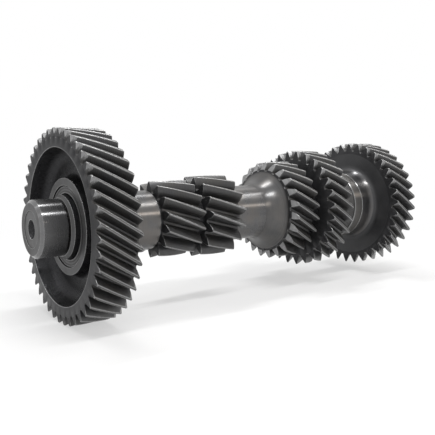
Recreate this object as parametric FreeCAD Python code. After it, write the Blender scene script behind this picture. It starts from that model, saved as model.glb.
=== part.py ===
import FreeCAD, Part
import cmath
import math
import os

# Cluster gear of a manual gearbox: its countershaft with the gears on it. The forged shaft carries four
# helical gears cut from the solid: two pinions with a groove between them, the second gear and the third
# gear. The large drive gear is pressed on at the front. The rear gear, with a spacer ring before it, is
# pressed on at the rear.
#
# Frame: the shaft's axis is X, from the front end to the rear end, and Z is up. The origin lies on the axis
# in the middle of the front journal. Lengths are in millimetres, and radii are measured from the axis.
# Every helix is right-handed. A start angle places a tooth at the front end of its gear, turned about X
# from Y towards Z.

V = FreeCAD.Vector

# Tooth form that all gears share. The factors are in modules.
PRESSURE_ANGLE_DEG = 20.0
ADDENDUM = 1.25
DEDENDUM = 1.40
ROOT_ROUNDING = 0.45

# Share of a gap's width that stays flat at its bottom, between the roundings.
ROOT_FLAT = 0.35

# How far the bevel on a tooth's end reaches across the top of the tooth.
BEVEL_ACROSS_TOP = 1.1

# Front journal, its end face and the shoulder behind it.
JOURNAL_R = 20.4
JOURNAL_LENGTH = 20.5
JOURNAL_CHAMFER = 2.0
UNDERCUT_WIDTH = 1.4
UNDERCUT_DEPTH = 0.6
SHOULDER_CHAMFER = 2.0
END_RECESS_R = 13.0
END_RECESS_DEPTH = 0.4

# Centre holes that the shaft is turned on, one in each end.
CENTRE_MOUTH_R = 6.8
CENTRE_DRILL_R = 3.0
CENTRE_CONE_DEG = 60.0
CENTRE_DRILL_LENGTH = 12.0

# Drive gear, pressed on at the front.
DRIVE_TEETH = 43
DRIVE_MODULE = 2.63
DRIVE_HELIX_DEG = 32.0
DRIVE_SHIFT = 0.0
DRIVE_START_DEG = 255.6
DRIVE_WIDTH = 30.4
DRIVE_AHEAD_OF_SHOULDER = 2.0
DRIVE_BEVEL = 4.3
DRIVE_REAR_BEVEL = 2.2
DRIVE_RIM_INNER_R = 56.3
DRIVE_DISH_DEPTH = 15.0
DRIVE_DISH_DRAFT = 2.5
DRIVE_DISH_FILLET = 8.0
DRIVE_WEB = 8.0
DRIVE_HUB_R = 34.8
DRIVE_HUB_RECESS = 6.5
DRIVE_HUB_STEP_R = 29.4
DRIVE_HUB_STEP = 0.8
DRIVE_HUB_DRAFT = 1.5
DRIVE_HUB_FILLET = 3.0
DRIVE_BORE_CHAMFER = 1.3

# Ground lengths of the shaft, from the drive gear to the second gear.
DRIVE_SEAT_R = 22.8
FRONT_SHAFT_R = 23.3
FRONT_SHAFT_LENGTH = 42.2
FRONT_SHAFT_CHAMFER = 1.0
NECK_R = 20.6
NECK_LENGTH = 2.6
MIDDLE_SHAFT_R = 23.4
MIDDLE_SHAFT_LENGTH = 29.9
FLARE_R = 34.4
FLARE_LENGTH = 16.6

# Front pinion, cut from the shaft. Its tooth ends are left as turned.
FRONT_PINION_TEETH = 14
FRONT_PINION_MODULE = 3.404
FRONT_PINION_HELIX_DEG = 19.4
FRONT_PINION_SHIFT = 0.2
FRONT_PINION_START_DEG = 140.5
FRONT_PINION_WIDTH = 34.4

# Rear pinion, cut from the shaft behind a narrow groove that reaches down to the neck's radius. It stands a
# little above the front pinion, and its tooth ends are left as turned too.
PINION_GROOVE_WIDTH = 4.7
REAR_PINION_TEETH = 15
REAR_PINION_MODULE = 3.58
REAR_PINION_HELIX_DEG = 17.1
REAR_PINION_SHIFT = 0.2
REAR_PINION_START_DEG = 123.7
REAR_PINION_WIDTH = 33.8

# Second gear, cut from the shaft behind the flare. Its front is turned to a steep cone.
SECOND_TEETH = 23
SECOND_MODULE = 3.09
SECOND_HELIX_DEG = 27.5
SECOND_SHIFT = 0.0
SECOND_START_DEG = 134.5
SECOND_WIDTH = 29.4
SECOND_CONE = 3.6
SECOND_CONE_BELOW_ROOT = 0.4
SECOND_BEVEL = 1.5

# Third gear, cut from the shaft behind a groove.
THIRD_TEETH = 28
THIRD_MODULE = 3.10
THIRD_HELIX_DEG = 30.0
THIRD_SHIFT = 0.0
THIRD_START_DEG = 146.6
THIRD_WIDTH = 25.3
THIRD_GROOVE_WIDTH = 8.1
THIRD_GROOVE_R = 33.5
THIRD_BEVEL = 2.2

# Rear shoulder, rear seat and rear journal of the shaft.
REAR_SHOULDER_R = 31.6
REAR_SHOULDER_LENGTH = 28.5
REAR_SHOULDER_CHAMFER = 0.8
REAR_SEAT_R = 22.8
REAR_SEAT_BEYOND_GEAR = 2.0
REAR_SEAT_CHAMFER = 1.0
REAR_JOURNAL_R = 17.5
REAR_JOURNAL_LENGTH = 26.0
REAR_JOURNAL_CHAMFER = 1.5

# Spacer ring between the shaft's rear shoulder and the rear gear.
SPACER_R = 32.7
SPACER_WIDTH = 10.8
SPACER_CHAMFER = 0.7

# Rear gear, pressed on behind the spacer ring.
REAR_TEETH = 34
REAR_MODULE = 2.88
REAR_HELIX_DEG = 32.5
REAR_SHIFT = 0.0
REAR_START_DEG = 153.6
REAR_WIDTH = 27.7
REAR_BEVEL = 2.2
REAR_HUB_R = 32.3
REAR_HUB_LENGTH = 16.8
REAR_HUB_CHAMFER = 0.8
REAR_HUB_FILLET = 8.0
REAR_BACK_RIM_R = 47.0
REAR_BACK_HUB_R = 33.0
REAR_BACK_RECESS = 6.0
REAR_BACK_DRAFT = 1.5
REAR_BORE_CHAMFER = 1.0

# Allowances of the construction: how far a raw toothed bar runs past its gear, how far the cutters of the
# bevels stand clear of the teeth, and how deep the shaft's core lies inside the gears cut from it.
BAR_OVERRUN = 1.0
CUTTER_REACH = 1.4
CUTTER_CLEARANCE = 1.5
CORE_OVERLAP = 4.0

# How many chords stand for the arc of a fillet and for the arc of the flare. Few chords keep facets few.
FILLET_CHORDS = 3
FLARE_CHORDS = 6

# How far apart two edges may lie and still count as one where solids are joined or cut.
CUT_TOLERANCE = 0.001


def involute(angle):
    return math.tan(angle) - angle


class Teeth:
    """A helical tooth form: its radii, its lead and the angle that a tooth takes up at any radius."""

    def __init__(self, count, module, helix_deg, shift, start_deg):
        helix = math.radians(helix_deg)
        normal_pressure = math.radians(PRESSURE_ANGLE_DEG)
        pressure = math.atan(math.tan(normal_pressure) / math.cos(helix))
        self.count = count
        self.module = module
        self.start = math.radians(start_deg)
        self.pitch_r = count * module / (2 * math.cos(helix))
        self.tip_r = self.pitch_r + (ADDENDUM + shift) * module
        self.root_r = self.pitch_r - (DEDENDUM - shift) * module
        self.base_r = self.pitch_r * math.cos(pressure)
        self.turn_per_mm = math.tan(helix) / self.pitch_r
        half_at_pitch = (math.pi / 2 + 2 * shift * math.tan(normal_pressure)) / count
        self.half_at_base = half_at_pitch + involute(pressure)

    def half_angle(self, radius):
        """Half the angle that one tooth spans at this radius."""
        return self.half_at_base - involute(math.acos(min(1.0, self.base_r / radius)))

    def flank_start_r(self):
        """Radius where the involute gives way to the rounding at the root."""
        return max(self.root_r + ROOT_ROUNDING * self.module, self.base_r)


def around_axis(station, radius, angle):
    return V(station, radius * math.cos(angle), radius * math.sin(angle))


def tooth_corners(teeth):
    """Corners of one tooth and the gap after it in the transverse plane, as complex numbers with the
    tooth's middle on the real axis."""
    foot_r = teeth.flank_start_r()
    radii = [foot_r, (foot_r + teeth.tip_r) / 2, teeth.tip_r]
    rising = [cmath.rect(r, -teeth.half_angle(r)) for r in radii]
    falling = [corner.conjugate() for corner in reversed(rising)]
    gap_middle = math.pi / teeth.count
    half_flat = ROOT_FLAT * (gap_middle - teeth.half_angle(foot_r))
    bottom = [cmath.rect(teeth.root_r, gap_middle + side * half_flat) for side in (-1, 1)]
    return rising + falling + bottom


def even_turn(turn):
    """Poles of the quintic curve that follows a point on the unit circle while it turns evenly."""
    end = cmath.rect(1, turn)
    speed = 1j * turn
    near_start = 1 + speed / 5
    near_end = end * (1 - speed / 5)
    return [1, near_start, 2 * near_start - 1 + speed ** 2 / 20,
            2 * near_end - end + end * speed ** 2 / 20, near_end, end]


def helical_strip(left, right, along, start, length):
    """Ruled face between the helices of two corners of the transverse plane."""
    surface = Part.BezierSurface()
    surface.increase(1, len(along) - 1)
    for j, turned_by in enumerate(along):
        station = start + length * j / (len(along) - 1)
        for i, corner in enumerate((left, right)):
            point = corner * turned_by
            surface.setPole(i + 1, j + 1, V(station, point.real, point.imag))
    return surface.toShape()


def toothed_bar(teeth, front, width):
    """Helical bar that runs a little past both ends of the gear that is cut from it."""
    start = front - BAR_OVERRUN
    length = width + 2 * BAR_OVERRUN
    along = even_turn(teeth.turn_per_mm * length)
    first = teeth.start - teeth.turn_per_mm * BAR_OVERRUN
    corners = []
    for k in range(teeth.count):
        place = cmath.rect(1, first + k * 2 * math.pi / teeth.count)
        corners += [corner * place for corner in tooth_corners(teeth)]
    pairs = zip(corners, corners[1:] + corners[:1])
    faces = [helical_strip(left, right, along, start, length) for left, right in pairs]
    for station, turned_by in ((start, 1), (start + length, along[-1])):
        outline = [V(station, (c * turned_by).real, (c * turned_by).imag) for c in corners + corners[:1]]
        faces.append(Part.Face(Part.makePolygon(outline)))
    shell = Part.makeShell(faces)
    shell.sewShape()
    bar = Part.makeSolid(Part.makeShell(shell.Faces))
    if bar.Volume < 0:
        bar.reverse()
    return bar


def fillet_points(before, corner, after, radius):
    """Points of a fillet at a corner between two straight lines. Short chords stand for the arc."""
    back = (before - corner).normalize()
    ahead = (after - corner).normalize()
    half = back.getAngle(ahead) / 2
    sweep = math.pi - 2 * half
    centre = corner + (back + ahead).normalize() * (radius / math.sin(half))
    first = corner + back * (radius / math.tan(half)) - centre
    last = corner + ahead * (radius / math.tan(half)) - centre
    points = []
    for i in range(FILLET_CHORDS + 1):
        share = i / FILLET_CHORDS
        spoke = first * math.sin((1 - share) * sweep) + last * math.sin(share * sweep)
        points.append(centre + spoke * (1 / math.sin(sweep)))
    return points


def turned(corners):
    """Solid of revolution about X. A corner is (station, radius) or (station, radius, fillet radius)."""
    points = [V(corner[0], corner[1], 0) for corner in corners]
    outline = []
    for i, corner in enumerate(corners):
        if len(corner) == 2:
            outline.append(points[i])
        else:
            following = points[(i + 1) % len(points)]
            outline += fillet_points(points[i - 1], points[i], following, corner[2])
    return Part.Face(Part.makePolygon(outline + outline[:1])).revolve(V(0, 0, 0), V(1, 0, 0), 360)


def bevel_cutter(teeth, middle, face, side, depth):
    """Tetrahedron that bevels one tooth end along its blunt flank, from nothing at the root to the full
    depth at the tip. The side is 1 at the front end and -1 at the rear end."""
    foot_r = teeth.flank_start_r()
    tip_half = teeth.half_angle(teeth.tip_r)
    across = tip_half - BEVEL_ACROSS_TOP / teeth.tip_r
    foot = around_axis(face, foot_r, middle + side * teeth.half_angle(foot_r))
    top = around_axis(face, teeth.tip_r, middle + side * across)
    back_angle = middle + side * (tip_half + teeth.turn_per_mm * depth)
    back = around_axis(face + side * depth, teeth.tip_r, back_angle)
    beyond = around_axis(face - side * CUTTER_CLEARANCE, teeth.tip_r + CUTTER_CLEARANCE,
                         middle + side * math.pi / teeth.count)
    corners = [foot, foot + (top - foot) * CUTTER_REACH, foot + (back - foot) * CUTTER_REACH, beyond]
    sides = []
    for skipped in range(len(corners)):
        three = corners[:skipped] + corners[skipped + 1:]
        sides.append(Part.Face(Part.makePolygon(three + three[:1])))
    cutter = Part.makeSolid(Part.makeShell(sides))
    if cutter.Volume < 0:
        cutter.reverse()
    return cutter


def bevel_cutters(teeth, width, face, side, depth):
    """Bevel cutters for one end of every tooth. The side is 1 at the front end and -1 at the rear end."""
    turn = teeth.turn_per_mm * width if side < 0 else 0.0
    pitch = 2 * math.pi / teeth.count
    middles = [teeth.start + turn + k * pitch for k in range(teeth.count)]
    return [bevel_cutter(teeth, middle, face, side, depth) for middle in middles]


def cut_teeth(teeth, blank, bar, front, width, front_bevel, rear_bevel):
    """A turned blank with its teeth cut and their ends bevelled. A bevel of zero leaves an end as turned."""
    gear = blank.common(bar)
    if front_bevel > 0:
        gear = gear.cut(bevel_cutters(teeth, width, front, 1, front_bevel))
    if rear_bevel > 0:
        gear = gear.cut(bevel_cutters(teeth, width, front + width, -1, rear_bevel))
    return gear.Solids[0]


def plain_blank(teeth, front, width, bore_r):
    """Ring for a gear that is cut from the shaft."""
    outside_r = teeth.tip_r + BAR_OVERRUN
    rear = front + width
    return turned([(front, bore_r), (front, outside_r), (rear, outside_r), (rear, bore_r)])


def plain_gear(teeth, front, width, core_r, bevel):
    """Gear between two flat faces, cut from the shaft, with the same bevel at both ends of its teeth."""
    blank = plain_blank(teeth, front, width, core_r - CORE_OVERLAP)
    bar = toothed_bar(teeth, front, width)
    return cut_teeth(teeth, blank, bar, front, width, bevel, bevel)


# Tooth forms.
drive = Teeth(DRIVE_TEETH, DRIVE_MODULE, DRIVE_HELIX_DEG, DRIVE_SHIFT, DRIVE_START_DEG)
front_pinion = Teeth(FRONT_PINION_TEETH, FRONT_PINION_MODULE, FRONT_PINION_HELIX_DEG, FRONT_PINION_SHIFT,
                     FRONT_PINION_START_DEG)
rear_pinion = Teeth(REAR_PINION_TEETH, REAR_PINION_MODULE, REAR_PINION_HELIX_DEG, REAR_PINION_SHIFT,
                    REAR_PINION_START_DEG)
second = Teeth(SECOND_TEETH, SECOND_MODULE, SECOND_HELIX_DEG, SECOND_SHIFT, SECOND_START_DEG)
third = Teeth(THIRD_TEETH, THIRD_MODULE, THIRD_HELIX_DEG, THIRD_SHIFT, THIRD_START_DEG)
rear = Teeth(REAR_TEETH, REAR_MODULE, REAR_HELIX_DEG, REAR_SHIFT, REAR_START_DEG)

# Stations along the shaft, each worked out from the one before it.
shaft_front = -JOURNAL_LENGTH / 2
shoulder = JOURNAL_LENGTH / 2
drive_front = shoulder - DRIVE_AHEAD_OF_SHOULDER
drive_rear = drive_front + DRIVE_WIDTH
neck_front = drive_rear + FRONT_SHAFT_LENGTH
front_pinion_front = neck_front + NECK_LENGTH
rear_pinion_front = front_pinion_front + FRONT_PINION_WIDTH + PINION_GROOVE_WIDTH
rear_pinion_rear = rear_pinion_front + REAR_PINION_WIDTH
flare_front = rear_pinion_rear + MIDDLE_SHAFT_LENGTH
second_front = flare_front + FLARE_LENGTH
second_rear = second_front + SECOND_WIDTH
third_front = second_rear + THIRD_GROOVE_WIDTH
third_rear = third_front + THIRD_WIDTH
spacer_front = third_rear + REAR_SHOULDER_LENGTH
spacer_rear = spacer_front + SPACER_WIDTH
rear_front = spacer_rear + REAR_HUB_LENGTH
rear_rear = rear_front + REAR_WIDTH
rear_seat_end = rear_rear + REAR_SEAT_BEYOND_GEAR
shaft_rear = rear_seat_end + REAR_JOURNAL_LENGTH


def centre_hole(face, inward):
    """Tool that drills a centre hole into an end face. Inward is 1 from the front and -1 from the rear."""
    cone_depth = (CENTRE_MOUTH_R - CENTRE_DRILL_R) / math.tan(math.radians(CENTRE_CONE_DEG / 2))
    point_depth = CENTRE_DRILL_R / math.tan(math.radians(CENTRE_CONE_DEG))
    outside = face - inward * CUTTER_CLEARANCE
    return turned([(outside, 0), (outside, CENTRE_MOUTH_R), (face, CENTRE_MOUTH_R),
                   (face + inward * cone_depth, CENTRE_DRILL_R),
                   (face + inward * (cone_depth + CENTRE_DRILL_LENGTH), CENTRE_DRILL_R),
                   (face + inward * (cone_depth + CENTRE_DRILL_LENGTH + point_depth), 0)])


def flare_corners():
    """Points of the concave flare. It leaves the middle shaft tangentially and is one arc in section."""
    rise = FLARE_R - MIDDLE_SHAFT_R
    arc_r = (FLARE_LENGTH ** 2 + rise ** 2) / (2 * rise)
    sweep = math.asin(FLARE_LENGTH / arc_r)
    angles = [sweep * i / FLARE_CHORDS for i in range(FLARE_CHORDS + 1)]
    return [(flare_front + arc_r * math.sin(a), MIDDLE_SHAFT_R + arc_r * (1 - math.cos(a))) for a in angles]


def shaft_body():
    """The turned forging, without its teeth."""
    end_face = shaft_front + END_RECESS_DEPTH
    undercut_r = JOURNAL_R - UNDERCUT_DEPTH
    front_edge_r = DRIVE_SEAT_R - SHOULDER_CHAMFER
    corners = [(end_face, 0), (end_face, END_RECESS_R), (shaft_front, END_RECESS_R),
               (shaft_front, JOURNAL_R - JOURNAL_CHAMFER), (shaft_front + JOURNAL_CHAMFER, JOURNAL_R),
               (shoulder - UNDERCUT_WIDTH, JOURNAL_R), (shoulder - UNDERCUT_WIDTH, undercut_r),
               (shoulder, undercut_r), (shoulder, front_edge_r),
               (shoulder + SHOULDER_CHAMFER, DRIVE_SEAT_R), (drive_rear, DRIVE_SEAT_R),
               (drive_rear, FRONT_SHAFT_R), (neck_front - FRONT_SHAFT_CHAMFER, FRONT_SHAFT_R),
               (neck_front, FRONT_SHAFT_R - FRONT_SHAFT_CHAMFER), (neck_front, NECK_R),
               (rear_pinion_rear - CORE_OVERLAP, NECK_R), (rear_pinion_rear, MIDDLE_SHAFT_R)]
    corners += flare_corners()
    corners += [(second_front + CORE_OVERLAP, FLARE_R), (second_front + CORE_OVERLAP, THIRD_GROOVE_R),
                (third_rear - CORE_OVERLAP, THIRD_GROOVE_R), (third_rear - CORE_OVERLAP, REAR_SHOULDER_R),
                (spacer_front - REAR_SHOULDER_CHAMFER, REAR_SHOULDER_R),
                (spacer_front, REAR_SHOULDER_R - REAR_SHOULDER_CHAMFER), (spacer_front, REAR_SEAT_R),
                (rear_seat_end - REAR_SEAT_CHAMFER, REAR_SEAT_R),
                (rear_seat_end, REAR_SEAT_R - REAR_SEAT_CHAMFER), (rear_seat_end, REAR_JOURNAL_R),
                (shaft_rear - REAR_JOURNAL_CHAMFER, REAR_JOURNAL_R),
                (shaft_rear, REAR_JOURNAL_R - REAR_JOURNAL_CHAMFER), (shaft_rear, 0)]
    return turned(corners).cut([centre_hole(end_face, 1), centre_hole(shaft_rear, -1)])


def second_gear():
    """The second gear, with a cone turned on its front from the roots to the tips."""
    core_r = THIRD_GROOVE_R - CORE_OVERLAP
    outside_r = second.tip_r + BAR_OVERRUN
    foot_r = second.root_r - SECOND_CONE_BELOW_ROOT
    slope = SECOND_CONE / (second.tip_r - foot_r)
    blank = turned([(second_front, core_r), (second_front, foot_r),
                    (second_front + SECOND_CONE + slope * BAR_OVERRUN, outside_r),
                    (second_rear, outside_r), (second_rear, core_r)])
    bar = toothed_bar(second, second_front, SECOND_WIDTH)
    return cut_teeth(second, blank, bar, second_front, SECOND_WIDTH, 0.0, SECOND_BEVEL)


def countershaft():
    """The shaft and the four gears cut from it, as one forging."""
    gears = [plain_gear(front_pinion, front_pinion_front, FRONT_PINION_WIDTH, NECK_R, 0.0),
             plain_gear(rear_pinion, rear_pinion_front, REAR_PINION_WIDTH, NECK_R, 0.0),
             second_gear(),
             plain_gear(third, third_front, THIRD_WIDTH, THIRD_GROOVE_R, THIRD_BEVEL)]
    return shaft_body().fuse(gears, CUT_TOLERANCE)


def drive_gear():
    """Dished gear on the shaft's front seat."""
    web_face = drive_front + DRIVE_DISH_DEPTH
    hub_face = drive_front + DRIVE_HUB_RECESS
    back_face = web_face + DRIVE_WEB
    outside_r = drive.tip_r + BAR_OVERRUN
    bore_edge_r = DRIVE_SEAT_R + DRIVE_BORE_CHAMFER
    blank = turned([(hub_face + DRIVE_HUB_STEP + DRIVE_BORE_CHAMFER, DRIVE_SEAT_R),
                    (hub_face + DRIVE_HUB_STEP, bore_edge_r),
                    (hub_face + DRIVE_HUB_STEP, DRIVE_HUB_STEP_R),
                    (hub_face, DRIVE_HUB_STEP_R), (hub_face, DRIVE_HUB_R),
                    (web_face, DRIVE_HUB_R + DRIVE_HUB_DRAFT, DRIVE_HUB_FILLET),
                    (web_face, DRIVE_RIM_INNER_R - DRIVE_DISH_DRAFT, DRIVE_DISH_FILLET),
                    (drive_front, DRIVE_RIM_INNER_R), (drive_front, outside_r), (drive_rear, outside_r),
                    (drive_rear, DRIVE_RIM_INNER_R),
                    (back_face, DRIVE_RIM_INNER_R - DRIVE_HUB_DRAFT),
                    (back_face, DRIVE_HUB_R + DRIVE_HUB_DRAFT), (drive_rear, DRIVE_HUB_R),
                    (drive_rear, DRIVE_SEAT_R)])
    bar = toothed_bar(drive, drive_front, DRIVE_WIDTH)
    return cut_teeth(drive, blank, bar, drive_front, DRIVE_WIDTH, DRIVE_BEVEL, DRIVE_REAR_BEVEL)


def spacer_ring():
    return turned([(spacer_front, REAR_SEAT_R), (spacer_front, SPACER_R - SPACER_CHAMFER),
                   (spacer_front + SPACER_CHAMFER, SPACER_R), (spacer_rear - SPACER_CHAMFER, SPACER_R),
                   (spacer_rear, SPACER_R - SPACER_CHAMFER), (spacer_rear, REAR_SEAT_R)])


def rear_gear():
    """Gear with a long front hub that runs into its flat web by a large fillet."""
    outside_r = rear.tip_r + BAR_OVERRUN
    back_face = rear_rear - REAR_BACK_RECESS
    blank = turned([(spacer_rear, REAR_SEAT_R), (spacer_rear, REAR_HUB_R - REAR_HUB_CHAMFER),
                    (spacer_rear + REAR_HUB_CHAMFER, REAR_HUB_R),
                    (rear_front, REAR_HUB_R, REAR_HUB_FILLET), (rear_front, outside_r),
                    (rear_rear, outside_r), (rear_rear, REAR_BACK_RIM_R),
                    (back_face, REAR_BACK_RIM_R - REAR_BACK_DRAFT),
                    (back_face, REAR_BACK_HUB_R + REAR_BACK_DRAFT), (rear_rear, REAR_BACK_HUB_R),
                    (rear_rear, REAR_SEAT_R + REAR_BORE_CHAMFER),
                    (rear_rear - REAR_BORE_CHAMFER, REAR_SEAT_R)])
    # The hub stands ahead of the teeth, so the bar that the teeth are taken from gets a plain end for it.
    plain_end_r = rear.root_r - CORE_OVERLAP
    plain_end = turned([(spacer_rear - BAR_OVERRUN, 0), (spacer_rear - BAR_OVERRUN, plain_end_r),
                        (rear_front + BAR_OVERRUN, plain_end_r), (rear_front + BAR_OVERRUN, 0)])
    bar = toothed_bar(rear, rear_front, REAR_WIDTH).fuse(plain_end)
    return cut_teeth(rear, blank, bar, rear_front, REAR_WIDTH, REAR_BEVEL, REAR_BEVEL)


PIECES = {
    "countershaft": countershaft,
    "drive_gear": drive_gear,
    "spacer_ring": spacer_ring,
    "rear_gear": rear_gear,
}

os.makedirs("parts", exist_ok=True)
for name, make in PIECES.items():
    shape = make()
    shape.exportStep("parts/" + name + ".step")
    state = "valid" if shape.isValid() else "NOT VALID"
    print(name, state, len(shape.Solids), "solids", round(shape.Volume), "cubic millimetres")
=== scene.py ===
"""Cluster gear of a manual gearbox, dressed over its CAD frame.

The pieces follow the solids of the frame. They add what the solids leave plain: smooth flanks and roots,
broken edges, the marks of the hob and of the lathe, and the wear of the steel, which also paints highlights
and glints on its edges. Lengths are in metres."""

import math
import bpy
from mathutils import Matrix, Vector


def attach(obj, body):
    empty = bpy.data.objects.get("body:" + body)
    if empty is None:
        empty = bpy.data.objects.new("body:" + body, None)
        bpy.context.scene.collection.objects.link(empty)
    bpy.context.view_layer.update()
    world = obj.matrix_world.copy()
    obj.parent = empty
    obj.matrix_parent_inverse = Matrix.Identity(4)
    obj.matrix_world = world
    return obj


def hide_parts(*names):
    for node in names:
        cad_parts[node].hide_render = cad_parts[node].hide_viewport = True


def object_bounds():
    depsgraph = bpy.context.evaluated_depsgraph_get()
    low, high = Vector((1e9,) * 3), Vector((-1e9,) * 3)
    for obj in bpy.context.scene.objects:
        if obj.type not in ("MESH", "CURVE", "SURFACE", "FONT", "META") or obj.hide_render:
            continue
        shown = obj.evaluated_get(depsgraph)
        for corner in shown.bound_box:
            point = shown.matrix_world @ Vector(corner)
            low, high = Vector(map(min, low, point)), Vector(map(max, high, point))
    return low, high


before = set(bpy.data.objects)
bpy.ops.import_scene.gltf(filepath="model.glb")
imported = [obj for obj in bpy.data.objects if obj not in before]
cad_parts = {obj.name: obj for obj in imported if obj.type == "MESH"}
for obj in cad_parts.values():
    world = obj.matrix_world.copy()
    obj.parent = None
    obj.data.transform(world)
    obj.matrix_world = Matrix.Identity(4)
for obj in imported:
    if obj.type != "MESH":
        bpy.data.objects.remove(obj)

from types import SimpleNamespace

import bpy
import numpy as np
from bpy.props import FloatProperty, FloatVectorProperty, IntProperty, PointerProperty
from bpy.types import Operator, Panel, PropertyGroup
from mathutils import Matrix, Vector

bl_info = {
    "name": "Cluster gear",
    "version": (1, 0, 0),
    "blender": (4, 5, 0),
    "location": "View3D > Sidebar > Cluster Gear",
    "description": "Builds a countershaft cluster gear with its steel finishes over its CAD frame",
    "category": "Object",
}

CAD_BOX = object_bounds()
MM = 0.001

# Tooth form that all gears share. The factors are in modules.
PRESSURE_ANGLE = math.radians(20)
ADDENDUM = 1.25
DEDENDUM = 1.40
ROOT_ROUNDING = 0.45
ROOT_FLAT = 0.35

# How a tooth's tip and its end are rounded, as shares, and how much wear and painted highlight they get.
TIP_SHARE = 0.75          # most of the tip's half width that its rounding takes
CREASE_SHARE = 0.15       # least of the tip's half width that is left beside the end's bevel
TIP_WEAR_AND_HIGHLIGHT = (0.8, 1.0, 0.75, 0.2)   # before the rounding, on it, at its end and further in
END_ROW = 0.3             # where a row of points lies within the rounding of the outer diameter
DEEPEST_CUT = 0.8         # most of that rounding that is cut from a tip
# Painted glints: the wear at a tooth end's root and the line along the root paint glints there, as does the
# wear on tips cut by the outer rounding.
ROOT_WEAR_AND_GLINT = 0.45
ROOT_LINE_GLINT = 0.2
ROOT_LINE = 0.04
CUT_SEEN = 0.02 * MM      # cuts deeper than this show wear and a painted glint
CUT_WEAR_AND_GLINT = 0.9
BEVEL_SLACK = 0.5 * MM    # how far below the flank's foot a bevel may still reach

# How finely the meshes are divided.
BOTTOM_POINTS = 3
FLANK_POINTS = 8
FILLET_POINTS = 5
TIP_POINTS = 2
ARC_CHORDS = 3
FLARE_POINTS = 20
SHAFT_COLUMNS = 176
DRIVE_COLUMNS = 200
RING_COLUMNS = 192
PINION_STEPS = 16
GEAR_STEPS = 14
BEVEL_ROUNDS = 8
SHARP_ANGLE = math.radians(35)

# Roundings and wear of the turned outlines.
RUN_SHARE = 0.45          # most of a run that the rounding of one corner takes
SHARP_BEND = 0.3          # bend from which a broken edge shows wear with painted highlight, or is darkened as an inner corner
WORN_AND_HIGHLIGHT_RUN = 2.2            # runs longer than this many widths of wear and painted highlight get points beside their edges

# Steel: where the wear with its painted highlight and the darkening of inner corners fade, and how far the
# gloss is turned against the rings.
WEAR_AND_HIGHLIGHT_FADE = 0.35
CORNER_DARK_START = 0.15
CORNER_DARK_COVER = 0.85
QUARTER_TURN = 0.25

# Small forms, and how far skins reach under each other.
OVERLAP = 1 * MM          # how far a shaft's skin reaches in under a row of teeth
LAP = 0.3 * MM            # how far an end face reaches in under its neighbour
HAIR = 0.002 * MM         # how far two skins stand apart where one lies under the other
TUCK = 0.1 * MM           # how far a bore's edge reaches under the seat
FACE_LAP = 0.2 * MM       # how far a turned face reaches under the toothed rim
SMALL_ARC = 1 * MM        # roundings below this are broken edges
EDGE_CHAMFER = 1 * MM
FINE_CHAMFER = 0.8 * MM
JOURNAL_END_CHAMFER = 1.5 * MM
DRILL_DEPTH = 8 * MM
DRILL_TIP_R = 0.05 * MM
FLARE_LIP = 0.6 * MM      # narrow face between the flare and the second gear's cone
RIM_LAND = 1.2 * MM       # flat ring between the dish and the teeth's face
CHANNEL_DEPTH = 0.6 * MM
CHANNEL_SLOPE = 1.2 * MM
BACK_FILLET = 2.5 * MM
RECESS_FILLET = 1.5 * MM
WEB_DROP = 3 * MM         # how far the web starts below the roots of the teeth

# The camera's place and the directions of its view and of the picture's right side.
CAMERA_PLACE = (-0.14135, -0.38119, 0.05257)
CAMERA_AHEAD = (0.6047, 0.7881, -0.1149)
CAMERA_RIGHT = (0.79335, -0.60875, 0.0)
SENSOR_WIDTH = 36.0
CLIP_RANGE = (0.01, 50.0)

# Studio: how strongly the white world lights the object, and how the floor fades into it.
WORLD_LIGHT = 0.32
FLOOR_SIDE = 3.0
FADE_START = 0.25
FADE_END = 0.60
NEAR_GLOW = 0.55
AIM_FRONT = (0.0, 0.0, 0.0)
AIM_MIDDLE = (0.18, 0.0, 0.0)
AIM_REAR = (0.30, 0.0, 0.0)
WARM_LIGHT = (1.0, 0.90, 0.80)


def size(value, name, description):
    """A length that is given in millimetres and kept in metres."""
    return FloatProperty(name=name, description=description, default=value * MM, min=0.0, unit="LENGTH",
                         precision=5)


def turn(value, name, description):
    """An angle that is given in degrees and kept in radians."""
    return FloatProperty(name=name, description=description, default=math.radians(value), subtype="ANGLE")


def colour(value, name, description):
    return FloatVectorProperty(name=name, description=description, default=value, size=3, min=0.0, max=1.0,
                               subtype="COLOR")


def watts(value, name, description):
    return FloatProperty(name=name, description=description, default=value, min=0.0, unit="POWER")


def held(kind, name, description):
    """The sizes or colours of one part of the cluster gear."""
    return PointerProperty(name=name, description=description, type=kind)


def tooth_sizes(teeth, module, helix, shift, start, width):
    """The properties that every row of teeth has. The start is the angle of one tooth."""
    return {
        "teeth": IntProperty(name="Teeth", description="Number of teeth", default=teeth, min=3),
        "module": size(module, "Module", "Normal module of the teeth"),
        "helix": turn(helix, "Helix angle", "Helix angle of the teeth"),
        "shift": FloatProperty(name="Profile shift", description="Profile shift in modules", default=shift),
        "start": turn(start, "Start angle", "Angle of one tooth at the front face"),
        "width": size(width, "Face width", "Width of the toothed part"),
    }


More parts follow.
